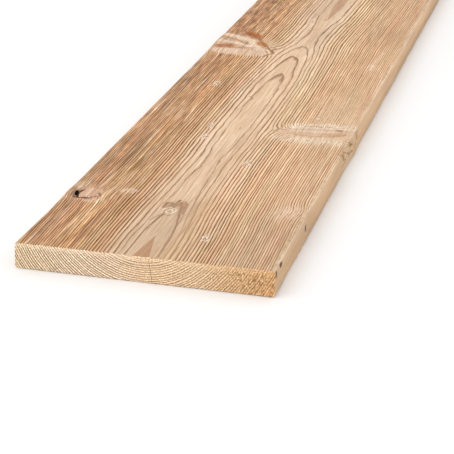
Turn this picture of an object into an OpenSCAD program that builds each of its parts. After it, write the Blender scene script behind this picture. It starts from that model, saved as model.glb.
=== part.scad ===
// A flat sawn softwood board, lying on its wide face with the brushed face up.
// The origin is the middle of the underside: X across the width, Y along the grain, Z up.
// The front end, with the drying check, faces -Y.

/* [Board] */
// Width of the board, across the grain
board_width = 195; // [120:1:300]
// Thickness of the board
board_thickness = 20; // [16:0.5:60]
// Length of the board, along the grain
board_length = 2000; // [1000:50:4000]
// Radius of the eased long arrises
arris_radius = 2; // [0.5:0.1:5]

/* [Knot hole] */
// Middle of the knot hole, from the front end
hole_from_end = 108; // [40:1:400]
// Middle of the knot hole, in from the left edge
hole_from_edge = 8.7; // [6:0.1:40]
// Length of the knot hole between its two points
hole_length = 12; // [8:0.5:30]
// Width of the knot hole at its middle
hole_width = 3.5; // [2:0.1:6]
// Depth of the knot hole below the top face
hole_depth = 9; // [3:0.5:12]
// Turn of the knot hole away from the grain
hole_turn = 15; // [0:1:45]

/* [Drying check] */
// Middle of the check, right of the board's middle
check_offset = 5.4; // [-40:0.1:40]
// Opening of the check at the end face
check_gap = 0.5; // [0.2:0.1:2]
// Reach of the check into the board
check_reach = 30; // [10:1:100]
// Sound wood left above and below the check
check_cover = 2; // [1:0.5:6]
// Lean of the check away from upright
check_lean = 8; // [0:1:20]

/* [Chipped arris] */
// Middle of the chip on the right upper arris, from the front end
chip_from_end = 268; // [80:1:600]
// Length of the chip along the arris
chip_length = 84; // [30:1:120]
// Depth of the chip, square to its sloping face
chip_depth = 3; // [1.5:0.5:6]

/* [Hidden] */
$fn = 96;
// Cuts run this far past the face that they open
cut_past = 5;
front_y = -board_length / 2;
left_x = -board_width / 2;
right_x = board_width / 2;
// Two circles of this radius cross in the knot hole's pointed outline
hole_radius = (hole_length * hole_length + hole_width * hole_width) / (4 * hole_width);
// The chip is scooped by a cylinder of this radius
chip_radius = (chip_length * chip_length / 4 + chip_depth * chip_depth) / (2 * chip_depth);
// Long enough to carry the scoop past both faces that it opens
chip_span = 4 * (chip_depth + arris_radius + cut_past);

// The sawn section: a rectangle with its four corners eased
module section() {
    square([board_width - 2 * arris_radius, board_thickness], center = true);
    square([board_width, board_thickness - 2 * arris_radius], center = true);
    for (side = [-1, 1], level = [-1, 1])
        translate([side * (board_width / 2 - arris_radius), level * (board_thickness / 2 - arris_radius)])
            circle(r = arris_radius);
}

// The board at its full length, lying on its underside
module sawn_board() {
    translate([0, 0, board_thickness / 2])
        rotate([90, 0, 0])
            linear_extrude(height = board_length, center = true)
                section();
}

// The open hole beside the left knot, pointed at both ends along the grain
module knot_hole() {
    translate([left_x + hole_from_edge, front_y + hole_from_end, board_thickness - hole_depth])
        rotate([0, 0, hole_turn])
            linear_extrude(height = hole_depth + cut_past)
                intersection_for(side = [-1, 1])
                    translate([side * (hole_radius - hole_width / 2), 0])
                        circle(r = hole_radius);
}

// The wedge-shaped split that drying opened in the front end
module drying_check() {
    mouth = check_gap * (check_reach + cut_past) / check_reach;
    translate([check_offset, front_y, board_thickness / 2])
        rotate([0, -check_lean, 0])
            linear_extrude(height = board_thickness - 2 * check_cover, center = true)
                polygon([[-mouth / 2, -cut_past], [mouth / 2, -cut_past], [0, check_reach]]);
}

// The long shallow scoop where the right knot broke out of the arris
module arris_chip() {
    translate([right_x, front_y + chip_from_end, board_thickness])
        rotate([0, 45, 0])
            translate([0, 0, chip_radius - chip_depth])
                rotate([0, 90, 0])
                    cylinder(r = chip_radius, h = chip_span, center = true);
}

module plank() {
    color("burlywood")
        difference() {
            sawn_board();
            knot_hole();
            drying_check();
            arris_chip();
        }
}

plank();
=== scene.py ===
"""A brushed softwood plank lying on a pale floor, seen along its length from the sawn front end."""
import math
from collections import namedtuple
from functools import reduce

import bpy
from mathutils import Matrix, Vector


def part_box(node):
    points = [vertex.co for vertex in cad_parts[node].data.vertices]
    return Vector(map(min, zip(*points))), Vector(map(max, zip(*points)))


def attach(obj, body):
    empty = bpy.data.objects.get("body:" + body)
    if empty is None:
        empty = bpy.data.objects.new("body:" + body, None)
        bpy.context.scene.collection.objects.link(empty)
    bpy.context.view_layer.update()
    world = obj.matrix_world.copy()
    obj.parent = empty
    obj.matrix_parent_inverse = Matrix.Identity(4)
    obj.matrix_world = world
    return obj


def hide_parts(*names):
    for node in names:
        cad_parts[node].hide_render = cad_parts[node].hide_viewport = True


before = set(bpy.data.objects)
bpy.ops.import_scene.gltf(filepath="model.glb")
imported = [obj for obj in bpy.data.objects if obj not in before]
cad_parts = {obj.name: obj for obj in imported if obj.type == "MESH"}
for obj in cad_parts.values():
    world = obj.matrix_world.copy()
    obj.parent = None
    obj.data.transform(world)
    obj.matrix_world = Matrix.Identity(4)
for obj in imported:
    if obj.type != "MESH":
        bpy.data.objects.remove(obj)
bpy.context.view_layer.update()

# The board, in metres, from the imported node
BOARD_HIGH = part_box("plank")[1]
HALF_WIDTH = BOARD_HIGH.x
HALF_LENGTH = BOARD_HIGH.y
THICKNESS = BOARD_HIGH.z
ARRIS = 0.002
MM = 1000.0
FRONT = -HALF_LENGTH

# Fineness of the mesh: the grain lines are widest apart along the middle of the board
HEART_HALF = 0.020
HEART_COLUMNS = 38
OUTER_COLUMNS = 114
ARRIS_STEPS = 4
EDGE_ROWS = 6
END_ROWS = 14
UNDERSIDE_COLUMNS = 24
# Points count as one within these, in metres and in decimal places
NEAR = 1e-6
PLACES = 7
# An edge runs along an axis, and a face looks along it, from these shares upwards
STRAIGHT = 0.999
FACING = 0.9
# Zones along the board from the front end, finest at the knots: where each stops, in metres, and its rows
ROW_ZONES = (
    (0.09, 20), (0.135, 22), (0.22, 20), (0.335, 46), (0.52, 36), (0.62, 34), (0.82, 34),
    (2 * HALF_LENGTH, 58),
)

# Growth rings, in millimetres: the pith runs above the board and rises and falls along it
PITH_ABOVE = 40.0
RING_WIDTH = 1.75
BOARD_MM = 2 * HALF_LENGTH * MM
# Ring number along the middle of the top face: distance from the front end, ring
HEART_RING = (
    (0, 0.80), (39, 1.0), (60, 1.28), (84, 1.62), (112, 2.0), (130, 2.22), (170, 2.42), (212, 2.62),
    (250, 2.36), (320, 2.18), (400, 2.32), (450, 2.62), (475, 3.0), (490, 3.34), (515, 3.62), (535, 4.0),
    (546, 4.34), (558, 4.62), (570, 5.0), (590, 5.36), (628, 5.52), (660, 5.4), (686, 5.0), (705, 4.9),
    (770, 4.84), (840, 4.5), (900, 4.2), (1010, 3.3), (1150, 2.9), (1300, 3.5), (1420, 4.6), (1500, 5.2),
    (1600, 5.5), (1750, 4.8), (1900, 3.4), (2000, 2.7),
)
HEART_RING_TOP = 8.0
# Where the heart of the grain runs across the board: distance from the front end, offset
HEART_LINE = (
    (0, -2), (60, -3.5), (110, -4.8), (300, -5), (475, -5.6), (570, -4.5), (690, -1), (900, 2),
    (1300, -3), (2000, 4),
)
HEART_REACH = 10.0
# How far the rings stray: millimetres of drift over the board, and rings of waver and of uneven width
RING_DRIFT = 1.6
RING_WAVER = 0.3
RING_UNEVEN = 0.6
# How dark a ring is among the others, and how far that changes
RING_WEIGHT = 0.95
RING_WEIGHT_CHANGE = 1.1
# Where in a ring its late wood starts, is full and stops, and where its dark rim starts and is full
LATE_START = 0.38
LATE_FULL = 0.90
LATE_STOP = 0.955
RIM_START = 0.78
RIM_FULL = 0.93
# Rings that lie flat to the face start their late wood later: by this share, between these distances
FLAT_DELAY = 0.32
FLAT_MIDDLE = -4.0
FLAT_FULL = 8.0
FLAT_END = 42.0

# Branch knots: inner tip across and along, the side they run out to, how many rings they pull outwards,
# how wide the pull is along the grain and how far it builds up outwards
Knot = namedtuple("Knot", "across along side rings spread reach")
LEFT_KNOT = Knot(-58, 112, -1, 1.6, 12, 20)
RIGHT_KNOT = Knot(28, 302, 1, 4.5, 13, 30)
FAR_KNOT = Knot(-30, 552, -1, 6.0, 17, 30)
ARRIS_KNOT = Knot(74, 116, 1, 1.3, 13, 18)
KNOTS = (LEFT_KNOT, RIGHT_KNOT, FAR_KNOT, ARRIS_KNOT)
# A knot's pull starts this far before its inner tip
KNOT_LEAD = 14.0

# Shapes of the marks on the wood, in millimetres across the board and along it from the front end
Patch = namedtuple("Patch", "across along half_across half_along turn soft")
Stroke = namedtuple("Stroke", "points width")
Wedge = namedtuple("Wedge", "left tip right")
# Zones of the wood, in millimetres, and how much they change: between two places, or round a middle
Span = namedtuple("Span", "low high amount")
Hump = namedtuple("Hump", "middle spread amount")
# The edges of a wedge are soft between these distances, and a stroke's between these shares of its width
WEDGE_RIM = (-0.3, 0.4)
STROKE_RIM = (0.25, 0.75)
# How far torn outlines stray across the board and along it
TEAR_ACROSS = 1.8
TEAR_ALONG = 3.0

# The left knot, with its crack and the dark rim of its hole; the near-black patch, crack and prongs at the
# hole are painted shade
LEFT_HALO = Patch(-79, 113, 21, 18, 0, 0.5)
LEFT_CORE = Patch(-78, 111, 10.5, 10.5, 0, 0.14)
LEFT_TEAR = Patch(-50, 124, 8, 5, 10, 0.5)
LEFT_FOOT = Patch(-70, 96, 9, 4, 0, 0.5)
LEFT_HEAD = Patch(-92, 127, 5, 7, 0, 0.5)
LEFT_CRACK = Stroke(((-88, 101), (-82, 100), (-76, 101.5)), 2.4)
LEFT_RIM = Stroke(((-77, 101.5), (-69, 106.5), (-71, 112)), 1.7)
LEFT_SHADE = Patch(-90, 108, 3.5, 8, 0, 0.4)
LEFT_PRONGS = Stroke(((-85.5, 115), (-88, 108), (-85.5, 101)), 2.4)

# The pale right knot, its brown fibres and the wood that it bleaches
RIGHT_HALO = Patch(66, 300, 40, 31, 4, 0.45)
RIGHT_CORE = Patch(61, 306, 33, 9.5, 6, 0.26)
RIGHT_FOOT = Patch(66, 282, 32, 8, 0, 0.5)
RIGHT_FADE = Patch(77, 372, 30, 56, 0, 0.7)
RIGHT_LINE = Stroke(((46, 296), (54, 294), (66, 294.5), (78, 296), (90, 304)), 2.2)
RIGHT_TOP_LINE = Stroke(((52, 318), (60, 321), (66, 319), (74, 321), (80, 319)), 1.8)
RIGHT_SPOT = Patch(83, 314, 4, 2.6, 0, 0.4)
RIGHT_BAND = Stroke(((40, 318), (70, 326), (97, 325)), 11.0)
RIGHT_TIP = Stroke(((27, 299), (31, 306), (38, 304)), 2.4)
RIGHT_EYE = Patch(60, 307, 20, 5.0, 6, 0.4)
RIGHT_EMBER = Patch(80, 301, 9, 3.0, 8, 0.5)
RIGHT_LIP = Stroke(((40, 311), (60, 315), (80, 319), (97, 320)), 2.2)
RIGHT_INNER = Stroke(((42, 306), (60, 310), (76, 312)), 1.6)

# The far left knot, with its streaks and torn orange wood
FAR_BODY = Patch(-72, 566, 38, 36, -30, 0.22)
FAR_BAND = Patch(-64, 535, 34, 11, -3, 0.25)
FAR_TOP = Patch(-65, 604, 17, 6.5, -52, 0.3)
FAR_TOP_HEART = Patch(-68, 606, 9, 3.6, -50, 0.5)
FAR_MIDDLE = Patch(-48, 570, 11, 5, -55, 0.35)
FAR_SIDE = Patch(-85, 556, 12, 5, 8, 0.4)
FAR_EDGE = Stroke(((-78, 617), (-58, 594), (-45, 570), (-34, 550), (-30, 539), (-36, 526)), 3.0)
FAR_SEAM = Stroke(((-97, 549), (-74, 548), (-52, 555)), 2.4)
FAR_SEAM_TOP = Stroke(((-95, 588), (-78, 580), (-62, 566)), 2.4)
FAR_STREAK = Stroke(((-97, 600), (-80, 592), (-62, 580), (-50, 562)), 9.0)
FAR_STREAK_LOW = Stroke(((-97, 574), (-76, 568), (-58, 560), (-42, 548)), 9.0)

# The brown tip at the front end, the brown leaf far back, and the plain wood round each
FRONT_TIP = Wedge((-8.4, 0), (-3.2, 42), (4.4, 0))
FRONT_PLAIN = Patch(-2.5, 8, 9.5, 44, 0, 0.12)
FAR_LEAF = Patch(-0.5, 762, 5.6, 82, -0.6, 0.1)
FAR_LEAF_TIP = Wedge((12, 800), (-1, 684), (-14, 800))
FAR_PLAIN = Patch(0, 750, 11, 66, 0, 0.12)
# The short dark tongue near the front end and its torn curl
TONGUE_CAP = Stroke(
    ((-14, 98), (-14, 106), (-11.4, 110.5), (-8.5, 106), (-5, 110), (-1, 114), (2.4, 108)), 1.8)
TONGUE_CURL = Patch(-7, 91, 4.6, 5.6, 0, 0.3)
TONGUE_RIM = Stroke(((-3.2, 85.7), (-5.7, 81.8), (-11, 83.5), (-13.9, 77.3), (-16.5, 70)), 1.8)
TONGUE_FILL = Patch(-9.5, 102.5, 5.4, 7, 0, 0.16)
TONGUE_WEDGE = Stroke(((-0.4, 108.5), (1.2, 101)), 5.0)
TONGUE_WEDGE_TIP = Stroke(((1.2, 101), (3.4, 88)), 3.0)
TONGUE_SIDE = Stroke(((2.4, 108), (5.3, 87), (6.7, 74.7), (7.6, 50.3), (10.5, 9.9)), 1.6)
TONGUE_LOOP = Stroke(
    ((-12, 92.5), (-8.9, 97.5), (-2, 93.7), (-3.6, 86), (-9.8, 88), (-7, 93), (-4.5, 90)), 1.5)
HOOK = Stroke(((-17, 392), (-14, 386), (-15, 374)), 1.8)
DOT = Patch(-0.6, 450, 2, 5, 0, 0.4)

# Small torn flakes of pale wood
FLAKES = (
    Patch(34, 46, 3.2, 7, 0, 0.4), Patch(-58, 423, 3.4, 9, 0, 0.4), Patch(25, 210, 3.6, 8, 0, 0.4),
    Patch(-30, 299, 3.0, 8, 0, 0.4), Patch(58, 346, 3.0, 6, 0, 0.4), Patch(-17, 678, 3.2, 10, 0, 0.4),
    Patch(-27, 268, 2.6, 8, 0, 0.4),
)
# Scuffs at the right
WIDE_TEAR = Patch(82, 113, 9, 15, -12, 0.6)
FAR_TEAR = Patch(77, 517, 4, 11, 0, 0.4)
FAR_TEAR_TAIL = Stroke(((77, 520), (80, 576)), 3.0)


# Formulas as nodes

def plug(tree, value, socket):
    """Links a term to a socket, or sets the socket to a plain value."""
    if isinstance(value, Term):
        tree.links.new(value.socket, socket)
    else:
        socket.default_value = value


class Term:
    """A socket of a node tree that adds nodes to its tree when it is used in a formula."""

    def __init__(self, tree, socket):
        self.tree = tree
        self.socket = socket

    def __add__(self, other):
        return maths("ADD", self, other)

    def __sub__(self, other):
        return maths("SUBTRACT", self, other)

    def __rsub__(self, other):
        return maths("SUBTRACT", other, self)

    def __mul__(self, other):
        return maths("MULTIPLY", self, other)

    def __truediv__(self, other):
        return maths("DIVIDE", self, other)

    __radd__ = __add__
    __rmul__ = __mul__


def maths(operation, *values):
    """A Math node fed with terms and numbers."""
    tree = next(value.tree for value in values if isinstance(value, Term))
    node = tree.nodes.new("ShaderNodeMath")
    node.operation = operation
    for value, socket in zip(values, node.inputs):
        plug(tree, value, socket)
    return Term(tree, node.outputs[0])


def smooth(term, low, high):
    """Rises smoothly from 0 at low to 1 at high."""
    node = term.tree.nodes.new("ShaderNodeMapRange")
    node.interpolation_type = "SMOOTHSTEP"
    plug(term.tree, term, node.inputs["Value"])
    plug(term.tree, low, node.inputs["From Min"])
    plug(term.tree, high, node.inputs["From Max"])
    return Term(term.tree, node.outputs["Result"])


def fall(term, low, high):
    """Falls smoothly from 1 at low to 0 at high."""
    return 1.0 - smooth(term, low, high)


def bell(term, middle, spread):
    """A bell curve: 1 where the term is at the middle."""
    away = (term - middle) / spread
    return maths("EXPONENT", away * away * -1.0)


def rising(term, span):
    """Grows over a span, up to its amount."""
    return smooth(term, span.low, span.high) * span.amount


def falling(term, span):
    """Shrinks over a span, down from its amount."""
    return fall(term, span.low, span.high) * span.amount


def hump(term, zone):
    """The zone's amount at its middle, and less away from it."""
    return bell(term, zone.middle, zone.spread) * zone.amount


def combine(operation, terms):
    """The least or the greatest of several terms."""
    return reduce(lambda first, second: maths(operation, first, second), terms)


def noise(x, y, z, detail=2.0, roughness=0.5):
    """Smooth noise from about -1 to 1 at a point; a plain number in it picks one pattern of many."""
    tree = next(value.tree for value in (x, y, z) if isinstance(value, Term))
    point = tree.nodes.new("ShaderNodeCombineXYZ")
    for value, socket in zip((x, y, z), point.inputs):
        plug(tree, value, socket)
    node = tree.nodes.new("ShaderNodeTexNoise")
    tree.links.new(point.outputs[0], node.inputs["Vector"])
    node.inputs["Scale"].default_value = 1.0
    node.inputs["Detail"].default_value = detail
    node.inputs["Roughness"].default_value = roughness
    return (Term(tree, node.outputs[0]) - 0.5) * 2.0


def curve(term, points, span, low, high):
    """A smooth curve through points, over 0 to span, with values between low and high."""
    tree = term.tree
    node = tree.nodes.new("ShaderNodeFloatCurve")
    line = node.mapping.curves[0]
    while len(line.points) < len(points):
        line.points.new(0.0, 0.0)
    for knob, (place, value) in zip(line.points, points):
        knob.location = (place / span, (value - low) / (high - low))
        knob.handle_type = "AUTO_CLAMPED"
    node.mapping.update()
    plug(tree, term / span, node.inputs["Value"])
    return Term(tree, node.outputs[0]) * (high - low) + low


def split(tree, vector):
    """The three parts of a vector socket."""
    node = tree.nodes.new("ShaderNodeSeparateXYZ")
    tree.links.new(vector, node.inputs[0])
    return tuple(Term(tree, socket) for socket in node.outputs)


def node_group(name, inputs, outputs, build, kind="ShaderNodeTree"):
    """A node group with number inputs and outputs, filled by a formula."""
    tree = bpy.data.node_groups.new(name, kind)
    for label in inputs:
        tree.interface.new_socket(label, in_out="INPUT", socket_type="NodeSocketFloat")
    for label in outputs:
        tree.interface.new_socket(label, in_out="OUTPUT", socket_type="NodeSocketFloat")
    start = tree.nodes.new("NodeGroupInput")
    end = tree.nodes.new("NodeGroupOutput")
    results = build(*(Term(tree, start.outputs[label]) for label in inputs))
    for label, result in zip(outputs, results):
        plug(tree, result, end.inputs[label])
    return tree


GROUP_NODES = {"ShaderNodeTree": "ShaderNodeGroup", "GeometryNodeTree": "GeometryNodeGroup"}


def call_group(group, *values):
    """Uses a node group: its outputs as terms, by their names."""
    tree = next(value.tree for value in values if isinstance(value, Term))
    node = tree.nodes.new(GROUP_NODES[tree.bl_idname])
    node.node_tree = group
    for value, socket in zip(values, node.inputs):
        plug(tree, value, socket)
    return {socket.name: Term(tree, socket) for socket in node.outputs}


# The grain, for the relief and the colours alike

def board_place(tree, position):
    """Millimetres across the board, along it from the front end, and below its top face."""
    x, y, z = split(tree, position)
    across = x * MM
    along = y * MM + HALF_LENGTH * MM
    depth = THICKNESS * MM - z * MM
    return across, along, depth


def ring_number(across, along, depth):
    """The growth ring that a point lies in: whole numbers are the sharp ends of the dark latewood."""
    drift = noise(across / 70.0, along / 210.0, depth / 70.0) * RING_DRIFT
    waver = noise(across / 9.0, along / 34.0, depth / 9.0, 3.0, 0.6) * RING_WAVER
    heart = curve(along, HEART_LINE, BOARD_MM, -HEART_REACH, HEART_REACH)
    rise = curve(along, HEART_RING, BOARD_MM, 0.0, HEART_RING_TOP) * RING_WIDTH + PITH_ABOVE
    sideways = across - heart + drift
    upward = depth + rise
    radius = maths("SQRT", sideways * sideways + upward * upward)
    ring = (radius - PITH_ABOVE) / RING_WIDTH + waver
    ring = ring + noise(ring / 2.3, along / 900.0, 0.0, 1.0) * RING_UNEVEN
    for knot in KNOTS:
        outward = (across - knot.across) * knot.side
        beside = bell(along, knot.along, knot.spread)
        ring = ring - beside * smooth(outward, -KNOT_LEAD, knot.reach) * knot.rings
    return ring


def latewood_share(ring, across):
    """How late the wood of a ring is, slowly rising and then stopping short, and its sharp dark rim."""
    phase = maths("FRACT", ring)
    flat = fall(maths("ABSOLUTE", across - FLAT_MIDDLE), FLAT_FULL, FLAT_END)
    stop = fall(phase, LATE_STOP, 1.0)
    late = smooth(phase, flat * FLAT_DELAY + LATE_START, LATE_FULL) * stop
    rim = smooth(phase, RIM_START, RIM_FULL) * stop
    return late, rim


def growth_rings(across, along, depth):
    """The ring number, how late its wood is, its sharp rim and how dark this ring is among the others."""
    ring = ring_number(across, along, depth)
    late, rim = latewood_share(ring, across)
    weight = noise(ring / 1.6, along / 500.0, 3.0, 1.0) * RING_WEIGHT_CHANGE + RING_WEIGHT
    return ring, late, rim, weight


def wood_fibres(across, along, depth):
    """Fine fibres, broader streaks, pale hairlines and dark streaks, all along the grain."""
    fine = noise(across / 0.9, along / 42.0, depth / 0.9, 4.0, 0.65)
    broad = noise(across / 4.5, along / 170.0, depth / 4.5, 3.0, 0.55)
    hairline = smooth(noise(across / 1.3, along / 95.0, depth / 3.0 + 40.0, 2.0), 0.20, 0.42)
    dark = smooth(noise(across / 2.6, along / 80.0, depth / 3.0 + 90.0, 3.0), 0.16, 0.5)
    return fine, broad, hairline, dark


def patch_share(across, along, ragged, middle, ahead, half_across, half_along, cosine, sine, soft):
    """1 inside a turned oval with a ragged rim, 0 outside it."""
    right = across - middle
    forward = along - ahead
    lengthways = (right * cosine + forward * sine) / half_across
    sideways = (forward * cosine - right * sine) / half_along
    reach = maths("SQRT", lengthways * lengthways + sideways * sideways) + ragged * soft
    return (fall(reach, 1.0 - soft, soft + 1.0),)


PATCH_INPUTS = (
    "Across", "Along", "Ragged", "Middle across", "Middle along", "Half across", "Half along",
    "Cosine", "Sine", "Soft",
)


def stroke_gap(across, along, start_across, start_along, step_across, step_along):
    """The square of the distance from a straight stroke."""
    right = across - start_across
    forward = along - start_along
    length_squared = step_across * step_across + step_along * step_along
    reached = (right * step_across + forward * step_along) / length_squared
    reached = maths("MINIMUM", maths("MAXIMUM", reached, 0.0), 1.0)
    aside = right - reached * step_across
    beyond = forward - reached * step_along
    return (aside * aside + beyond * beyond,)


STROKE_INPUTS = ("Across", "Along", "Start across", "Start along", "Step across", "Step along")


def mark_groups(kind, label):
    """The two shapes of mark as node groups of one kind of tree."""
    patch = node_group(label + " patch", PATCH_INPUTS, ("Share",), patch_share, kind)
    stroke = node_group(label + " stroke", STROKE_INPUTS, ("Gap",), stroke_gap, kind)
    return patch, stroke


def right_of_edge(across, along, start, end):
    """Millimetres to the right of a straight edge that runs from start to end."""
    step_across = end[0] - start[0]
    step_along = end[1] - start[1]
    length = math.hypot(step_across, step_along)
    return (across - start[0]) * (step_along / length) - (along - start[1]) * (step_across / length)


def shape_mask(groups, across, along, ragged, shape):
    """1 inside a patch or a wedge or on a stroke, 0 away from it."""
    if isinstance(shape, Wedge):
        inside_left = smooth(right_of_edge(across, along, shape.left, shape.tip), *WEDGE_RIM)
        return inside_left * smooth(right_of_edge(across, along, shape.tip, shape.right), *WEDGE_RIM)
    patch_group, stroke_group = groups
    if isinstance(shape, Patch):
        turn = math.radians(shape.turn)
        return call_group(
            patch_group, across, along, ragged, shape.across, shape.along,
            shape.half_across, shape.half_along, math.cos(turn), math.sin(turn), shape.soft)["Share"]
    gaps = (
        call_group(stroke_group, across, along, *start, end[0] - start[0], end[1] - start[1])["Gap"]
        for start, end in zip(shape.points, shape.points[1:]))
    nearest = maths("SQRT", combine("MINIMUM", gaps))
    return fall(nearest, *(shape.width * share_of_width for share_of_width in STROKE_RIM))


def torn_place(across, along):
    """The place on the face shifted a little, so that the marks have ragged outlines."""
    ragged = noise(across / 5.0, along / 9.0, 3.0, 3.0, 0.6)
    shift = noise(across / 6.0, along / 10.0, 8.0, 2.0)
    return across + ragged * TEAR_ACROSS, along + shift * TEAR_ALONG, ragged


# Working by hand in edit mode

def deselect_everything():
    bpy.ops.object.select_all(action="DESELECT")


def select_edges(mesh, wanted):
    """Selects the edges whose middle and direction pass a test, in edit mode's edge mode."""
    bpy.ops.mesh.select_all(action="DESELECT")
    bpy.ops.object.mode_set(mode="OBJECT")
    points = mesh.vertices
    for edge in mesh.edges:
        start = points[edge.vertices[0]].co
        end = points[edge.vertices[1]].co
        edge.select = wanted((start + end) / 2, end - start)
    bpy.ops.object.mode_set(mode="EDIT")


def select_faces(mesh, wanted):
    """Selects the faces whose normal passes a test, in edit mode's face mode."""
    bpy.ops.mesh.select_mode(type="FACE")
    bpy.ops.mesh.select_all(action="DESELECT")
    bpy.ops.object.mode_set(mode="OBJECT")
    for face in mesh.polygons:
        face.select = wanted(face.normal)
    bpy.ops.object.mode_set(mode="EDIT")


def runs(direction, axis):
    """True where a direction lies along one axis."""
    return abs(direction[axis]) > STRAIGHT * direction.length


def ease_arrises(mesh):
    """Rounds the four long arrises, then opens the ends for a grid of their own."""
    bpy.ops.mesh.select_mode(type="EDGE")
    select_edges(mesh, lambda middle, way: runs(way, 1))
    bpy.ops.mesh.bevel(offset=ARRIS, segments=ARRIS_STEPS, affect="EDGES", clamp_overlap=False)
    select_faces(mesh, lambda normal: abs(normal.y) > FACING)
    bpy.ops.mesh.delete(type="ONLY_FACE")
    bpy.ops.mesh.select_mode(type="EDGE")


def cut_columns(mesh):
    """Columns along the board: finer beside the heart of the grain, where the lines lie closer."""
    for side in (-1, 1):
        bpy.ops.mesh.select_all(action="SELECT")
        bpy.ops.mesh.bisect(plane_co=(side * HEART_HALF, 0, 0), plane_no=(1, 0, 0))
    select_edges(mesh, lambda middle, way: runs(way, 0) and abs(middle.x) < HEART_HALF)
    bpy.ops.mesh.subdivide(number_cuts=HEART_COLUMNS - 1)
    select_edges(mesh, lambda middle, way: runs(way, 0) and way.length > HEART_HALF)
    bpy.ops.mesh.subdivide(number_cuts=OUTER_COLUMNS - 1)


def cut_rows(mesh):
    """Rows up the long edges, and along the board by zones."""
    select_edges(mesh, lambda middle, way: runs(way, 2))
    bpy.ops.mesh.subdivide(number_cuts=EDGE_ROWS - 1)
    for stop, rows in ROW_ZONES[:-1]:
        bpy.ops.mesh.select_all(action="SELECT")
        bpy.ops.mesh.bisect(plane_co=(0, FRONT + stop, 0), plane_no=(0, 1, 0))
    low = FRONT
    for stop, rows in ROW_ZONES:
        high = FRONT + stop
        select_edges(mesh, lambda middle, way: runs(way, 1) and low < middle.y < high)
        bpy.ops.mesh.subdivide(number_cuts=rows - 1)
        low = high


def close_ends(mesh):
    """Both ends: a grid between the top and bottom edges, and a sliver at each rounded side."""
    flat = HALF_WIDTH - ARRIS
    for end in (-HALF_LENGTH, HALF_LENGTH):
        def on_end(middle):
            return abs(middle.y - end) < NEAR
        select_edges(mesh, lambda middle, way: on_end(middle) and runs(way, 0) and abs(middle.x) < flat)
        bpy.ops.mesh.bridge_edge_loops(number_cuts=END_ROWS - 1)
        for side in (-1, 1):
            select_edges(mesh, lambda middle, way: on_end(middle) and middle.x * side > flat - NEAR)
            bpy.ops.mesh.edge_face_add()


def thin_underside(mesh):
    """Takes out most columns of the underside, which has no relief."""
    bpy.ops.object.mode_set(mode="OBJECT")
    below = sorted({round(point.co.x, PLACES) for point in mesh.vertices if abs(point.co.z) < NEAR})
    step = len(below) // UNDERSIDE_COLUMNS
    spare = {place for index, place in enumerate(below) if index % step and index != len(below) - 1}
    bpy.ops.object.mode_set(mode="EDIT")

    def on_spare_line(middle, way):
        return runs(way, 1) and abs(middle.z) < NEAR and round(middle.x, PLACES) in spare
    select_edges(mesh, on_spare_line)
    bpy.ops.mesh.dissolve_edges(use_verts=True)


def model_board():
    """The sawn board as a fine mesh, ready for its relief."""
    deselect_everything()
    bpy.ops.mesh.primitive_cube_add(size=1, location=(0, 0, THICKNESS / 2))
    board = bpy.context.object
    board.name = "brushed_plank"
    board.scale = (2 * HALF_WIDTH, 2 * HALF_LENGTH, THICKNESS)
    bpy.ops.object.transform_apply(location=True, rotation=True, scale=True)
    mesh = board.data
    mesh.name = "brushed_plank"
    bpy.ops.object.mode_set(mode="EDIT")
    for work in (ease_arrises, cut_columns, cut_rows, close_ends, thin_underside):
        work(mesh)
    bpy.ops.mesh.select_all(action="SELECT")
    bpy.ops.mesh.normals_make_consistent(inside=False)
    bpy.ops.object.mode_set(mode="OBJECT")
    return board


# Relief that brushing leaves: hard late wood stands proud of the soft early wood

# Marks that stand up or lie sunk: the shape, its rise in millimetres and how far it smooths the ridges
RELIEF_MARKS = (
    (LEFT_HALO, 0.0, 0.4), (LEFT_CORE, 0.15, 0.9), (LEFT_CRACK, -1.2, 0.5), (LEFT_RIM, -0.5, 0.5),
    (RIGHT_HALO, 0.0, 0.55), (RIGHT_CORE, 0.35, 0.9), (RIGHT_LINE, -0.5, 0.5), (RIGHT_TIP, -0.4, 0.3),
    (FAR_BODY, 0.0, 0.7), (FAR_BAND, 0.35, 0.8), (FAR_TOP, -0.7, 0.8), (FAR_MIDDLE, -0.5, 0.8),
    (FAR_SIDE, -0.6, 0.8), (FAR_EDGE, -0.5, 0.3), (TONGUE_CAP, -0.4, 0.0), (TONGUE_CURL, 0.35, 0.6),
    (WIDE_TEAR, 0.1, 0.6), (FAR_TEAR, 0.25, 0.6),
)
FLAKE_RISE = 0.3
RIDGE = 0.42
# Where in a ring its ridge stands highest
RIDGE_PHASE = 0.84
FACE_ROUGH = 0.06
# The relief of the face fades out between these depths
FACE_SKIN = (0.05, 0.9)
# Nicks in the right upper arris: distance from the front end, depth, spread along the edge; the first is
# the chip under the right knot
NICKS = ((270, 3.9, 32), (145, 1.3, 5), (85, 1.2, 5), (12, 1.4, 6))
FRAY = 1.5
CORNER = 2 ** -0.5
# Swells of the long sides at the knots: distance from the front end, height, spread along the edge
LEFT_SWELLS = ((574, 1.3, 24), (114, 0.8, 14))
RIGHT_SWELL = (312, 0.9, 17)
# The right swell grows between these depths
RIGHT_SWELL_DEPTHS = (5.0, 14.0)
# Where the swells and the wander of the sides start and are full, from the middle of the board
SWELL_START = 90.0
WANDER_START = 94.0
SIDE_FULL = 97.0
SIDE_WANDER = 0.4
# The left side flares towards the front corner
CORNER_FLARE = 1.2
CORNER_FLARE_REACH = 70.0
# The saw's marks: their depth, how far and over what height the lower edges fray upwards, and where the
# marks fade out
END_ROUGH = 0.22
END_FRAY = 0.8
END_FRAY_REACH = 1.0
END_SKIN = (0.02, 1.0)


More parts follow.
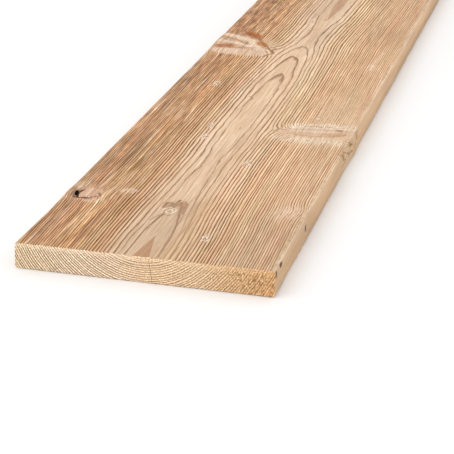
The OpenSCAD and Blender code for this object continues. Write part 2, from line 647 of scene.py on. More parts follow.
def face_lift(across, along, depth):
    """How far brushing raises and sinks the top face along its grain, with its torn marks."""
    groups = mark_groups("GeometryNodeTree", "Modelled")
    ring = ring_number(across, along, depth)
    ridge = (maths("COSINE", (ring - RIDGE_PHASE) * (2 * math.pi)) * 0.5 - 0.5) * RIDGE
    ridge = ridge * (noise(across / 20.0, along / 90.0, 5.0) * 0.5 + 0.8)
    place = torn_place(across, along)
    rise = 0.0
    for shape, height, calm in RELIEF_MARKS:
        mask = shape_mask(groups, *place, shape)
        ridge = ridge * (1.0 - mask * calm)
        rise = mask * height + rise
    for flake in FLAKES:
        rise = rise + shape_mask(groups, *place, flake) * FLAKE_RISE
    rough = noise(across / 2.2, along / 9.0, 1.0, 2.0) * FACE_ROUGH
    return (ridge + rise + rough) * fall(depth, *FACE_SKIN)


def chipped_arris(across, along, depth):
    """How far the points of the right arris go in and down: they move on the diagonal."""
    chip = combine("MAXIMUM", (bell(along, where, spread) * deep for where, deep, spread in NICKS))
    chip = chip * (noise(along / 5.0, across / 4.0, depth / 4.0, 2.0) * 0.55 + 1.0)
    frayed = smooth(noise(along / 11.0, 2.0, 6.0, 3.0, 0.6), 0.05, 0.5) * FRAY
    corner = (HALF_WIDTH * MM - across + depth) * CORNER
    return maths("MAXIMUM", maths("MAXIMUM", chip, frayed) - corner, 0.0) * CORNER


def side_swell(across, along, depth):
    """How far the long sides move to the right: they swell at the knots and wander a little."""
    where, height, spread = RIGHT_SWELL
    on_right = smooth(depth, *RIGHT_SWELL_DEPTHS) * smooth(across, SWELL_START, SIDE_FULL)
    swell = bell(along, where, spread) * on_right * height
    bulge = fall(along, 0.0, CORNER_FLARE_REACH) * CORNER_FLARE
    for where, height, spread in LEFT_SWELLS:
        bulge = bulge + bell(along, where, spread) * height
    on_left = fall(across, -SIDE_FULL, -SWELL_START)
    on_side = smooth(maths("ABSOLUTE", across), WANDER_START, SIDE_FULL)
    wander = noise(along / 45.0, across / 200.0, depth / 25.0, 3.0) * SIDE_WANDER
    return swell + wander * on_side - bulge * on_left


def saw_marks(across, along, depth):
    """How far the rough ends move along the board, and how far their lower edges fray upwards."""
    near, far = END_SKIN
    front = fall(along, near, far)
    back = smooth(along, BOARD_MM - far, BOARD_MM - near)
    saw = noise(across / 1.9, depth / 1.9, along / 500.0, 3.0, 0.6) * END_ROUGH + END_ROUGH
    fray = maths("MAXIMUM", noise(across / 2.3, along / 400.0, 6.0, 2.0), 0.0)
    fray = fray * smooth(depth, THICKNESS * MM - END_FRAY_REACH, THICKNESS * MM) * END_FRAY
    return front * saw - back * saw, fray * (front + back)


def brushed_relief_tree():
    """Geometry nodes that shape the top face along its grain, the chipped arris and the sawn ends."""
    tree = bpy.data.node_groups.new("Brushed relief", "GeometryNodeTree")
    for way in ("INPUT", "OUTPUT"):
        tree.interface.new_socket("Geometry", in_out=way, socket_type="NodeSocketGeometry")
    start = tree.nodes.new("NodeGroupInput")
    end = tree.nodes.new("NodeGroupOutput")
    place = board_place(tree, tree.nodes.new("GeometryNodeInputPosition").outputs[0])
    inward = chipped_arris(*place)
    lengthways, fray = saw_marks(*place)
    offset = tree.nodes.new("ShaderNodeCombineXYZ")
    plug(tree, (side_swell(*place) - inward) / MM, offset.inputs["X"])
    plug(tree, lengthways / MM, offset.inputs["Y"])
    plug(tree, (face_lift(*place) - inward + fray) / MM, offset.inputs["Z"])
    mover = tree.nodes.new("GeometryNodeSetPosition")
    tree.links.new(start.outputs[0], mover.inputs["Geometry"])
    tree.links.new(offset.outputs[0], mover.inputs["Offset"])
    tree.links.new(mover.outputs[0], end.inputs[0])
    return tree


def apply_nodes(piece, tree):
    """Runs a geometry node tree on a piece and keeps the result in its mesh."""
    bpy.context.view_layer.objects.active = piece
    modifier = piece.modifiers.new(tree.name, "NODES")
    modifier.node_group = tree
    bpy.ops.object.modifier_apply(modifier=modifier.name)


# The knot hole and the drying check, cut into the board, in millimetres

HOLE_PLACE = (-88.8, 108.0)
HOLE_HALF = (1.75, 6.0)
HOLE_DEPTH = 9.0
HOLE_TURN = math.radians(15)
HOLE_SIDES = 14
CHECK_ACROSS = 5.4
CHECK_GAP = 0.5
CHECK_REACH = 30.0
CHECK_COVER = 2.0
CHECK_LEAN = math.radians(-8)
# The check narrows to this share at its inner end, and its cutter runs past the underside, in metres
CHECK_TIP = 0.1
CHECK_PAST = 0.002


def cut_away(board, cutter):
    """Takes a cutter out of the board; the cut faces keep the cutter's material."""
    deselect_everything()
    bpy.context.view_layer.objects.active = board
    modifier = board.modifiers.new("cut", "BOOLEAN")
    modifier.operation = "DIFFERENCE"
    modifier.solver = "MANIFOLD"
    modifier.material_mode = "TRANSFER"
    modifier.object = cutter
    bpy.ops.object.modifier_apply(modifier=modifier.name)
    bpy.data.objects.remove(cutter)


def knot_hole(material):
    """An oval prism that stands through the top face."""
    deselect_everything()
    middle = (HOLE_PLACE[0] / MM, FRONT + HOLE_PLACE[1] / MM, THICKNESS)
    bpy.ops.mesh.primitive_cylinder_add(vertices=HOLE_SIDES, radius=1, depth=2, location=middle)
    hole = bpy.context.object
    hole.scale = (HOLE_HALF[0] / MM, HOLE_HALF[1] / MM, HOLE_DEPTH / MM)
    hole.rotation_euler = (0, 0, HOLE_TURN)
    bpy.ops.object.transform_apply(location=True, rotation=True, scale=True)
    hole.data.materials.append(material)
    return hole


def drying_check(material):
    """A thin wedge in the front end, closing towards its inner end."""
    deselect_everything()
    height = THICKNESS - CHECK_COVER / MM
    bpy.ops.mesh.primitive_cube_add(size=1, location=(CHECK_ACROSS / MM, FRONT, (height - CHECK_PAST) / 2))
    wedge = bpy.context.object
    wedge.scale = (CHECK_GAP / MM, 2 * CHECK_REACH / MM, height + CHECK_PAST)
    bpy.ops.object.transform_apply(location=False, rotation=True, scale=True)
    bpy.ops.object.mode_set(mode="EDIT")
    select_faces(wedge.data, lambda normal: normal.y > FACING)
    bpy.ops.transform.resize(value=(CHECK_TIP, 1, 1))
    bpy.ops.object.mode_set(mode="OBJECT")
    wedge.rotation_euler = (0, CHECK_LEAN, 0)
    bpy.ops.object.transform_apply(location=True, rotation=True, scale=True)
    wedge.data.materials.append(material)
    return wedge


def cutters(material):
    """The hole and the check joined, so that one cut takes both."""
    hole = knot_hole(material)
    check = drying_check(material)
    deselect_everything()
    check.select_set(True)
    hole.select_set(True)
    bpy.context.view_layer.objects.active = hole
    bpy.ops.object.join()
    return hole


# Colours of the wood

# Sockets of a Mix node that blends colours
MIX_FACTOR = 0
MIX_FIRST = 6
MIX_SECOND = 7
MIX_RESULT = 2


def mix(factor, first, second, blend="MIX"):
    """Blends two colours, given as terms or plain colours."""
    tree = next(value.tree for value in (factor, first, second) if isinstance(value, Term))
    node = tree.nodes.new("ShaderNodeMix")
    node.data_type = "RGBA"
    node.blend_type = blend
    node.clamp_factor = True
    plug(tree, factor, node.inputs[MIX_FACTOR])
    plug(tree, first, node.inputs[MIX_FIRST])
    plug(tree, second, node.inputs[MIX_SECOND])
    return Term(tree, node.outputs[MIX_RESULT])


def ramp(term, low, high, stops):
    """A colour ramp over a span."""
    node = term.tree.nodes.new("ShaderNodeValToRGB")
    band = node.color_ramp
    while len(band.elements) < len(stops):
        band.elements.new(1.0)
    for element, (place, colour) in zip(band.elements, stops):
        element.position = (place - low) / (high - low)
        element.color = colour
    plug(term.tree, (term - low) / (high - low), node.inputs[0])
    return Term(term.tree, node.outputs[0])


def paint(red, green, blue):
    return (red, green, blue, 1.0)


WHITE = paint(1.0, 1.0, 1.0)
WOOD_SHEEN = 0.18
BUMP_STRENGTH = 0.6


def times(colour, other):
    """A colour multiplied by another one, or by a shade."""
    return mix(1.0, colour, other, "MULTIPLY")


def tinted(colour, amount, tint):
    """A colour multiplied by a tint, as far as the amount says."""
    return times(colour, mix(amount, WHITE, tint))


def wood_material(name):
    """A new material, and the place on the board that its nodes read."""
    material = bpy.data.materials.new(name)
    material.use_nodes = True
    tree = material.node_tree
    tree.nodes["Principled BSDF"].inputs["Specular IOR Level"].default_value = WOOD_SHEEN
    place = tree.nodes.new("ShaderNodeTexCoord")
    return material, board_place(tree, place.outputs["Object"])


def dress(material, colour, roughness):
    """Feeds a material's shader."""
    tree = material.node_tree
    shader = tree.nodes["Principled BSDF"]
    plug(tree, colour, shader.inputs["Base Color"])
    plug(tree, roughness, shader.inputs["Roughness"])


def bump(material, height, distance):
    """Fine relief that is too small to model."""
    tree = material.node_tree
    node = tree.nodes.new("ShaderNodeBump")
    node.inputs["Strength"].default_value = BUMP_STRENGTH
    node.inputs["Distance"].default_value = distance
    plug(tree, height, node.inputs["Height"])
    tree.links.new(node.outputs["Normal"], tree.nodes["Principled BSDF"].inputs["Normal"])


FACE_TONES = (
    (-97, paint(0.425, 0.205, 0.088)), (-84, paint(0.43, 0.205, 0.088)), (-62, paint(0.475, 0.23, 0.092)),
    (-40, paint(0.49, 0.24, 0.097)), (-16, paint(0.575, 0.350, 0.193)), (8, paint(0.58, 0.358, 0.201)),
    (25, paint(0.579, 0.336, 0.168)), (45, paint(0.566, 0.308, 0.144)), (97, paint(0.60, 0.340, 0.173)),
)
EARLY_TINT = paint(1.58, 1.92, 2.45)
LATE_TINT = paint(0.42, 0.30, 0.24)
RIM_TINT = paint(0.60, 0.49, 0.40)
# How strongly the dark lines show across the board
LINE_STRENGTH = (
    (-98, 0.95), (-60, 0.95), (-45, 1.0), (-30, 0.9), (-14, 0.62), (6, 0.58), (20, 0.78), (35, 1.03),
    (55, 1.05), (72, 0.95), (98, 0.75),
)
LINE_STRENGTH_TOP = 1.2
LINE_REACH = 100.0
BAND_TINT = paint(0.92, 0.84, 0.74)
FAR_BAND_TINT = paint(0.87, 0.76, 0.62)
REDDISH = paint(1.02, 0.94, 0.93)
GOLDEN = paint(0.98, 1.05, 1.03)
FIBRE_DARK = paint(0.70, 0.63, 0.54)
FIBRE_LIGHT = paint(1.28, 1.37, 1.48)
HAIRLINE_COLOUR = paint(0.84, 0.65, 0.47)
TIP_BROWN = paint(0.46, 0.245, 0.13)
LEAF_BROWN = paint(0.49, 0.268, 0.155)
DARK_STREAK = paint(0.47, 0.37, 0.30)

# Marks on the face from below upwards: the shape, its colour and how strongly it covers; the torn ones
# cover in strands
TORN_LAYERS = (
    (LEFT_HALO, paint(0.66, 0.45, 0.30), 0.6), (LEFT_HEAD, paint(0.78, 0.59, 0.43), 0.75),
    (LEFT_FOOT, paint(0.80, 0.61, 0.45), 0.8), (LEFT_TEAR, paint(0.84, 0.66, 0.51), 0.85),
    (RIGHT_FADE, paint(0.78, 0.56, 0.385), 0.6), (RIGHT_HALO, paint(0.75, 0.56, 0.39), 0.75),
    (RIGHT_FOOT, paint(0.85, 0.70, 0.54), 0.85),
    (RIGHT_BAND, paint(0.87, 0.72, 0.56), 0.85), (FAR_BODY, paint(0.72, 0.51, 0.35), 0.8),
    (WIDE_TEAR, paint(0.78, 0.58, 0.43), 0.75), (FAR_TEAR, paint(0.82, 0.62, 0.45), 0.9),
    (FAR_TEAR_TAIL, paint(0.82, 0.60, 0.42), 0.7),
)
FACE_LAYERS = (
    # The near-black left shade, crack and prongs: painted shade in the knot hole and its cracks
    (LEFT_CORE, paint(0.69, 0.435, 0.30), 0.9), (LEFT_SHADE, paint(0.10, 0.05, 0.035), 0.6),
    (LEFT_CRACK, paint(0.10, 0.045, 0.03), 0.9), (LEFT_RIM, paint(0.26, 0.12, 0.07), 0.8),
    (LEFT_PRONGS, paint(0.05, 0.022, 0.018), 0.9),
    (RIGHT_CORE, paint(0.66, 0.435, 0.29), 0.85), (RIGHT_EYE, paint(0.80, 0.61, 0.45), 0.7),
    (RIGHT_EMBER, paint(0.58, 0.32, 0.15), 0.55), (RIGHT_LINE, paint(0.48, 0.26, 0.13), 0.6),
    (RIGHT_TOP_LINE, paint(0.42, 0.23, 0.13), 0.65), (RIGHT_INNER, paint(0.46, 0.28, 0.17), 0.55),
    (RIGHT_LIP, paint(0.86, 0.70, 0.54), 0.8), (RIGHT_SPOT, paint(0.34, 0.17, 0.08), 0.75),
    (RIGHT_TIP, paint(0.42, 0.24, 0.13), 0.7),
    (FAR_STREAK, paint(0.82, 0.63, 0.46), 0.8), (FAR_STREAK_LOW, paint(0.80, 0.61, 0.46), 0.75),
    (FAR_SEAM_TOP, paint(0.34, 0.18, 0.10), 0.7), (FAR_BAND, paint(0.72, 0.50, 0.355), 0.85),
    (FAR_TOP, paint(0.47, 0.15, 0.04), 0.92), (FAR_TOP_HEART, paint(0.30, 0.068, 0.012), 0.75),
    (FAR_MIDDLE, paint(0.50, 0.20, 0.045), 0.92), (FAR_SIDE, paint(0.42, 0.155, 0.06), 0.88),
    (FAR_SEAM, paint(0.34, 0.18, 0.10), 0.7), (FAR_EDGE, paint(0.30, 0.14, 0.065), 0.75),
    (TONGUE_FILL, paint(0.41, 0.25, 0.14), 0.8), (TONGUE_WEDGE, paint(0.45, 0.24, 0.13), 0.8),
    (TONGUE_WEDGE_TIP, paint(0.45, 0.24, 0.13), 0.75),
    (TONGUE_SIDE, paint(0.40, 0.23, 0.13), 0.55),
    (TONGUE_CURL, paint(0.46, 0.28, 0.165), 0.6),
    (TONGUE_CAP, paint(0.36, 0.19, 0.10), 0.6), (TONGUE_RIM, paint(0.40, 0.22, 0.12), 0.6),
    (TONGUE_LOOP, paint(0.88, 0.72, 0.57), 0.7),
    (HOOK, paint(0.40, 0.23, 0.125), 0.7), (DOT, paint(0.34, 0.18, 0.09), 0.6),
)
FLAKE_COLOUR = paint(0.91, 0.76, 0.60)
FLAKE_SHADE = paint(0.38, 0.22, 0.12)
# Pale right arris: worn wood and partly a painted highlight
ARRIS_COLOUR = paint(0.78, 0.59, 0.42)
FLAKE_COVER = 0.9
FLAKE_SHADE_COVER = 0.6
TIP_COVER = 0.85
LEAF_COVER = 0.75

# Where the brown left of the face ends, across the board
LEFT_BROWN = Span(-64, -36, 1.0)
# Fibres of each kind: how much more they show at the brown left, and how much everywhere
BROAD_STREAKS = (0.6, 0.12)
DARK_STREAKS = (0.85, 0.15)
HAIRLINES = (0.7, 0.2)
FINE_FIBRES = (0.9, 1.1)
# Darker and paler stretches of the ground
FRONT_SHADE = Span(60, 150, 0.12)
NEAR_SHADE = Span(250, 330, 0.05)
NEAR_PALE = Hump(19, 11, 0.6)
FAR_SHADE = Span(540, 640, 0.08)
FAR_SHADE_EDGE = Span(-54, -44, 1.0)
LEFT_STRIPE = Span(-56, -44, 1.0)
LEFT_STRIPE_DARK = Hump(195, 70, 0.09)
LEFT_STRIPE_PALE = Hump(500, 50, 0.08)
CLOUDS = 0.08
# Where the lines fade: beyond the right knot, and in a quiet column near the front end
FADE_ACROSS = Span(36, 58, 1.0)
FADE_START = Span(312, 335, 1.0)
FADE_END = Span(370, 460, 0.12)
FADE_SHARE = 0.3
QUIET_COLUMN = Hump(17, 11, 0.45)
FRONT_STRETCH = Span(90, 140, 1.0)
# Bands of bolder lines, across the board and along it
LEFT_LINES = Hump(-38, 16, 1.0)
RIGHT_LINES = Hump(43, 17, 1.0)
RIGHT_LINES_END = Span(240, 420, 1.0)
FAR_LEFT_LINES = Hump(-30, 16, 1.0)
FAR_LEFT_START = Span(560, 600, 1.0)
FAR_LEFT_END = Span(670, 710, 1.0)
FAR_RIGHT_LINES = Hump(28, 18, 1.0)
FAR_RIGHT_START = Span(530, 600, 1.0)
NEAR_BOLD = 0.3
FAR_BOLD = 0.5
LEFT_SETTLED = 0.8
# The hue changes away from the heart, and the brown left is mottled, most of all beyond the far knot
HUE_REACH = Span(10, 28, 1.2)
MOTTLE = 1.2
MOTTLE_NEAR = 0.4
MOTTLE_START = Span(580, 630, 0.6)
MOTTLE_END = Span(830, 960, 0.75)
# The right arris: how far it frays inwards, its pale rim, which is worn wood and partly a painted highlight,
# and its dark nicks
ARRIS_FRAY = 5.0
ARRIS_PALE = Span(93.5, 96, 0.65)
ARRIS_NICKED = Span(88, 92, 1.0)
NICKED_STRETCH = Hump(155, 70, 0.55)
FACE_ROUGHNESS = 0.84
LATE_GLOSS = 0.14
FACE_BUMP = 0.0004


def more_at_left(left, amounts):
    """An amount everywhere, and more of it at the brown left."""
    extra, everywhere = amounts
    return left * extra + everywhere


def ground_shade(across, along, broad, left):
    """Shade of the ground: darker near the front end but for the left, and at the far right."""
    near = (falling(along, FRONT_SHADE) + falling(along, NEAR_SHADE)) * (1.0 - left)
    near = near * (1.0 - hump(across, NEAR_PALE))
    far = rising(along, FAR_SHADE) * rising(across, FAR_SHADE_EDGE)
    stripe = hump(along, LEFT_STRIPE_DARK) - hump(along, LEFT_STRIPE_PALE)
    far = far + stripe * falling(across, LEFT_STRIPE)
    shade = 1.0 - near - far + broad * more_at_left(left, BROAD_STREAKS)
    return shade + noise(across / 30.0, along / 90.0, 2.0) * CLOUDS


def line_strength(across, along):
    """How strongly the dark lines show: by zones, and a little from place to place."""
    points = tuple((place + LINE_REACH, strength) for place, strength in LINE_STRENGTH)
    strength = curve(across + LINE_REACH, points, 2 * LINE_REACH, 0.0, LINE_STRENGTH_TOP)
    strength = strength * (noise(across / 22.0, along / 110.0, 7.0) * 0.6 + 0.95)
    fading = rising(across, FADE_ACROSS) * rising(along, FADE_START)
    strength = strength * (1.0 - fading * (FADE_SHARE - rising(along, FADE_END)))
    return strength * (1.0 - hump(across, QUIET_COLUMN) * falling(along, FRONT_STRETCH))


def bold_bands(across, along, lines, colour):
    """Bands where the lines are bolder and the ground settles darker under them."""
    left_band = hump(across, LEFT_LINES)
    right_band = hump(across, RIGHT_LINES) * falling(along, RIGHT_LINES_END)
    far_band = hump(across, FAR_LEFT_LINES) * rising(along, FAR_LEFT_START) * falling(along, FAR_LEFT_END)
    far_band = far_band + hump(across, FAR_RIGHT_LINES) * rising(along, FAR_RIGHT_START)
    colour = tinted(colour, (left_band + right_band) * NEAR_BOLD + far_band * FAR_BOLD, lines)
    settled = right_band + left_band * falling(along, FRONT_STRETCH) * LEFT_SETTLED
    colour = tinted(colour, settled, BAND_TINT)
    return tinted(colour, far_band, FAR_BAND_TINT)


def torn_marks(groups, across, along, colour):
    """Torn fibres, knots, cracks and flakes, laid over the grain."""
    place = torn_place(across, along)
    shifted, moved = place[:2]
    fuzz = smooth(noise(shifted / 1.1, moved / 7.0, 2.0, 3.0, 0.6), -0.3, 0.3)
    for shape, cover, amount in TORN_LAYERS:
        colour = mix(shape_mask(groups, *place, shape) * fuzz * amount, colour, cover)
    for shape, cover, amount in FACE_LAYERS:
        colour = mix(shape_mask(groups, *place, shape) * amount, colour, cover)
    flake = combine("MAXIMUM", (shape_mask(groups, *place, patch) for patch in FLAKES))
    strands = smooth(noise(shifted / 1.3, moved / 5.0, 12.0, 2.0, 0.6), -0.08, 0.12)
    colour = mix(flake * strands * FLAKE_COVER, colour, FLAKE_COLOUR)
    return mix(flake * (1.0 - strands) * FLAKE_SHADE_COVER, colour, FLAKE_SHADE)


def frayed_arris(across, along, colour):
    """The right arris: pale and frayed, worn wood and partly a painted highlight, with dark nicks near the
    front end.
    """
    frayed = across + noise(along / 7.0, across / 5.0, 2.0, 3.0, 0.6) * ARRIS_FRAY
    colour = mix(rising(frayed, ARRIS_PALE), colour, ARRIS_COLOUR)
    nicked = smooth(noise(along / 5.0, across / 2.2, 9.0, 3.0, 0.6), 0.1, 0.4) * rising(frayed, ARRIS_NICKED)
    return mix(nicked * hump(along, NICKED_STRETCH), colour, FLAKE_SHADE)


def brushed_face(rings, fibres, groups):
    """The top face: dark lines over pale wood, browner to the left, with its knots and torn flakes."""
    material, (across, along, depth) = wood_material("brushed softwood face")
    grain = call_group(rings, across, along, depth)
    fibre = call_group(fibres, across, along, depth)

    def mask(shape):
        return shape_mask(groups, across, along, 0.0, shape)
    left = falling(across, LEFT_BROWN)
    lined = (1.0 - mask(FRONT_PLAIN)) * (1.0 - mask(FAR_PLAIN))
    late = grain["Latewood"] * lined

    # The ground and its dark lines
    tone = ramp(across, -HALF_WIDTH * MM, HALF_WIDTH * MM, FACE_TONES)
    colour = times(tone, ground_shade(across, along, fibre["Broad"], left))
    broken = noise(across / 1.8, along / 12.0, 4.0, 2.0) * 0.5 + 1.0
    lines = mix(late * broken * grain["Weight"], EARLY_TINT, LATE_TINT)
    lines = tinted(lines, grain["Rim"] * lined * broken, RIM_TINT)
    colour = tinted(colour, line_strength(across, along), lines)
    colour = bold_bands(across, along, lines, colour)

    # Hue, the two brown tips and the fibres
    from_heart = maths("ABSOLUTE", across - FLAT_MIDDLE)
    hue = noise(across / 13.0, along / 260.0, 6.0, 2.0) * rising(from_heart, HUE_REACH)
    colour = times(colour, mix(hue + 0.5, REDDISH, GOLDEN))
    colour = mix(mask(FRONT_TIP) * TIP_COVER, colour, TIP_BROWN)
    colour = mix(mask(FAR_LEAF) * mask(FAR_LEAF_TIP) * LEAF_COVER, colour, LEAF_BROWN)
    colour = tinted(colour, fibre["Dark"] * more_at_left(left, DARK_STREAKS), DARK_STREAK)
    colour = mix(fibre["Hairline"] * more_at_left(left, HAIRLINES), colour, HAIRLINE_COLOUR)
    mottled = noise(across / 3.0, along / 19.0, 14.0, 3.0, 0.6) * left
    mottled = mottled * (rising(along, MOTTLE_START) + MOTTLE_NEAR) * (1.0 - rising(along, MOTTLE_END))
    colour = times(colour, mottled * MOTTLE + 1.0)

    colour = torn_marks(groups, across, along, colour)
    colour = frayed_arris(across, along, colour)
    strands = fibre["Fine"] * more_at_left(left, FINE_FIBRES) + 0.5
    colour = times(colour, mix(strands, FIBRE_DARK, FIBRE_LIGHT))
    dress(material, colour, FACE_ROUGHNESS - late * LATE_GLOSS)
    bump(material, fibre["Fine"], FACE_BUMP)
    return material


# Tones of the long sides by millimetres below the top face: pale at the upper arris, worn wood and partly a
# painted highlight, and darker towards the bottom
EDGE_TONES = (
    (0, paint(0.72, 0.495, 0.312)), (3, paint(0.66, 0.425, 0.243)), (12, paint(0.635, 0.41, 0.235)),
    (20, paint(0.56, 0.358, 0.193)),
)
EDGE_BLOTCH = paint(0.60, 0.37, 0.19)
# Marks of the right side, in millimetres along it and below the top face
RIGHT_SIDE = Span(80, 90, 1.0)
SIDE_KNOT = Patch(290, 9, 36, 14, 0, 0.35)
SIDE_KNOT_COLOUR = paint(0.62, 0.43, 0.265)
SIDE_KNOT_COVER = 0.7
SIDE_CHIP = paint(0.38, 0.245, 0.115)
SIDE_CHIP_COVER = 0.55
SIDE_CHIP_END = Span(9, 17, 0.7)
SIDE_FLECK = paint(0.27, 0.13, 0.04)
SIDE_FLECK_END = Span(10, 15, 0.9)
SPOT_COLOUR = paint(0.07, 0.03, 0.018)
SIDE_LAYERS = (
    (Patch(322, 5, 2.4, 5.5, 0, 0.3), paint(0.36, 0.21, 0.11), 0.6),
    (Patch(18, 2.4, 3.5, 1.7, 0, 0.4), SPOT_COLOUR, 0.9),
    (Patch(3, 3.5, 2.2, 2.4, 0, 0.4), SPOT_COLOUR, 0.9),
    (Patch(103, 7.5, 2.4, 2.6, 0, 0.4), SPOT_COLOUR, 0.9),
)
EDGE_BLOTCH_COVER = 0.5
EDGE_LINES = 0.09
EDGE_FIBRES = 0.12
# The far stretch is darker below and lighter above
EDGE_FAR_DARK = Span(480, 640, 0.16)
EDGE_DARK_DEPTHS = (7.0, 15.0)
EDGE_FAR_LIGHT = Span(420, 500, 0.08)
EDGE_LIGHT_DEPTHS = (7.0, 12.0)
EDGE_ROUGHNESS = 0.72
EDGE_BUMP = 0.0001


def sawn_edge(rings, fibres, groups):
    """The long sides: smooth pale wood with faint lines, and the right knot where it comes out."""
    material, (across, along, depth) = wood_material("planed softwood edge")
    late = call_group(rings, across, along, depth)["Latewood"]
    fibre = call_group(fibres, across, along, depth)
    broad = fibre["Broad"]
    on_right = rising(across, RIGHT_SIDE)
    tone = ramp(depth, 0.0, THICKNESS * MM, EDGE_TONES)
    shade = broad * 0.2 + noise(along / 85.0, depth / 14.0, across / 90.0) * 0.24 + 0.95
    shade = shade * (1.0 - rising(along, EDGE_FAR_DARK) * smooth(depth, *EDGE_DARK_DEPTHS))
    shade = shade * (rising(along, EDGE_FAR_LIGHT) * fall(depth, *EDGE_LIGHT_DEPTHS) + 1.0)
    colour = tinted(times(tone, shade), EDGE_LINES, mix(late, EARLY_TINT, LATE_TINT))
    blotch = smooth(noise(along / 26.0, depth / 5.0, across / 60.0 + 3.0, 2.0), 0.08, 0.5)
    colour = mix(blotch * EDGE_BLOTCH_COVER, colour, EDGE_BLOTCH)
    knot = shape_mask(groups, along, depth, broad, SIDE_KNOT) * on_right
    colour = mix(knot * SIDE_KNOT_COVER, colour, SIDE_KNOT_COLOUR)
    chips = smooth(noise(along / 15.0, depth / 6.0, 5.0, 4.0, 0.65), -0.05, 0.3)
    chips = chips * (1.0 - rising(depth, SIDE_CHIP_END))
    colour = mix(knot * chips * SIDE_CHIP_COVER, colour, SIDE_CHIP)
    flecks = smooth(noise(along / 8.0, depth / 3.2, 8.0, 3.0, 0.6), 0.02, 0.2)
    colour = mix(knot * flecks * falling(depth, SIDE_FLECK_END), colour, SIDE_FLECK)
    for shape, cover, amount in SIDE_LAYERS:
        colour = mix(shape_mask(groups, along, depth, broad, shape) * on_right * amount, colour, cover)
    colour = times(colour, fibre["Fine"] * EDGE_FIBRES + 1.0)
    dress(material, colour, EDGE_ROUGHNESS + blotch * 0.1)
    bump(material, fibre["Fine"], EDGE_BUMP)
    return material


END_TONES = (
    (-97, paint(0.554, 0.381, 0.219)), (-52, paint(0.592, 0.411, 0.255)), (-22, paint(0.586, 0.392, 0.236)),
    (8, paint(0.583, 0.362, 0.197)), (38, paint(0.541, 0.343, 0.188)), (67, paint(0.500, 0.282, 0.133)),
    (97, paint(0.465, 0.228, 0.092)),
)
END_EARLY = paint(1.62, 1.80, 2.05)
END_LATE = paint(0.14, 0.09, 0.06)
# Painted shade in the torn-out hollows of the grain, and painted highlights: the glints
END_PIT_SHADE = paint(0.27, 0.135, 0.045)
END_GLINT = paint(0.88, 0.66, 0.36)
END_FUZZ = paint(0.86, 0.75, 0.60)
# The coarse golden corner, and how strongly the dashes show elsewhere
GOLDEN_CORNER = Span(56, 74, 1.0)
END_LINES = 0.95
END_QUIET = Span(-45, 5, 0.25)
END_DEEPER = Span(1.0, 5.5, 0.5)
# How strongly the painted glints and the painted shade of the torn-out hollows cover, and the depths over
# which that shade grows in the golden corner
GLINT_COVER = 0.6
PIT_DEPTHS = Span(1.5, 5.0, 0.7)
PIT_COVER = 0.14
# Fuzz along the upper edge: its depth, and how much more of it there is at the golden corner
FUZZ_DEPTH = 3.0
FUZZ_CORNER = Span(70, 88, 4.0)
FUZZ_COVER = 0.6
END_ROUGHNESS = 0.9
END_BUMP = 0.0003


def sawn_end(rings):
    """The cross-cut ends: rings broken into short dashes, coarse and golden at one side, with painted shade
    in its torn-out hollows and painted glints.
    """
    material, (across, along, depth) = wood_material("sawn softwood end")
    grain = call_group(rings, across, along, depth)
    ring, late = grain["Ring"], grain["Latewood"]
    golden = rising(across, GOLDEN_CORNER)
    tone = ramp(across, -HALF_WIDTH * MM, HALF_WIDTH * MM, END_TONES)
    cloud = noise(across / 11.0, depth / 5.0, along / 300.0, 2.0) * 0.12 + 1.0
    dash = smooth(noise(across / 1.9, depth / 1.5, along / 300.0 + 4.0, 2.0), -0.65, -0.1)
    grit = noise(across / 1.2, depth / 1.0, along / 300.0 + 9.0, 2.0, 0.7)
    phase = maths("FRACT", ring)
    line = smooth(phase, 0.34, 0.78) * fall(phase, 0.94, 1.0)
    calm = END_LINES - rising(across, END_QUIET) - golden * 0.1
    calm = calm * (rising(depth, END_DEEPER) + 0.5)
    tint = mix(line * dash * calm * grain["Weight"], END_EARLY, END_LATE)
    colour = times(times(tone, cloud), tint)
    # Painted shade in torn-out hollows and painted glints, both drawn out along the rings
    round_ring = across * 0.5 - depth * 0.86
    pit_shade = smooth(noise(ring * 1.1, round_ring / 3.6, along / 300.0 + 2.0, 2.0, 0.6), 0.0, 0.3)
    glints = smooth(noise(ring * 1.1 + 9.0, round_ring / 3.0, along / 300.0 + 5.0, 2.0, 0.6), 0.05, 0.35)
    colour = mix(glints * golden * GLINT_COVER, colour, END_GLINT)
    colour = mix(pit_shade * (golden * rising(depth, PIT_DEPTHS) + PIT_COVER), colour, END_PIT_SHADE)
    fuzz = smooth(grit - depth / (rising(across, FUZZ_CORNER) + FUZZ_DEPTH), 0.0, 0.4)
    colour = mix(fuzz * FUZZ_COVER, colour, END_FUZZ)
    colour = times(colour, mix(grit * 2.0 + 0.5, FIBRE_DARK, FIBRE_LIGHT))
    dress(material, colour, END_ROUGHNESS - late * 0.05)
    bump(material, grit - late * 0.5, END_BUMP)
    return material


UNDERSIDE_TONE = paint(0.61, 0.40, 0.235)
UNDERSIDE_WARM = paint(0.55, 0.33, 0.175)
UNDERSIDE_LINES = 0.45
UNDERSIDE_ROUGHNESS = 0.82
UNDERSIDE_BUMP = 0.0002


def plain_underside(rings, fibres):
    """The underside, which the photograph hides: plain sawn wood."""
    material, (across, along, depth) = wood_material("sawn softwood underside")
    late = call_group(rings, across, along, depth)["Latewood"]
    fibre = call_group(fibres, across, along, depth)
    warm = smooth(noise(across / 40.0, along / 220.0, 1.0), -0.3, 0.4)
    shade = fibre["Broad"] * 0.14 + fibre["Fine"] * 0.1 + 1.0
    colour = times(mix(warm, UNDERSIDE_TONE, UNDERSIDE_WARM), shade)
    colour = tinted(colour, UNDERSIDE_LINES, mix(late, EARLY_TINT, LATE_TINT))
    dress(material, colour, UNDERSIDE_ROUGHNESS - late * 0.08)
    bump(material, fibre["Fine"], UNDERSIDE_BUMP)
    return material


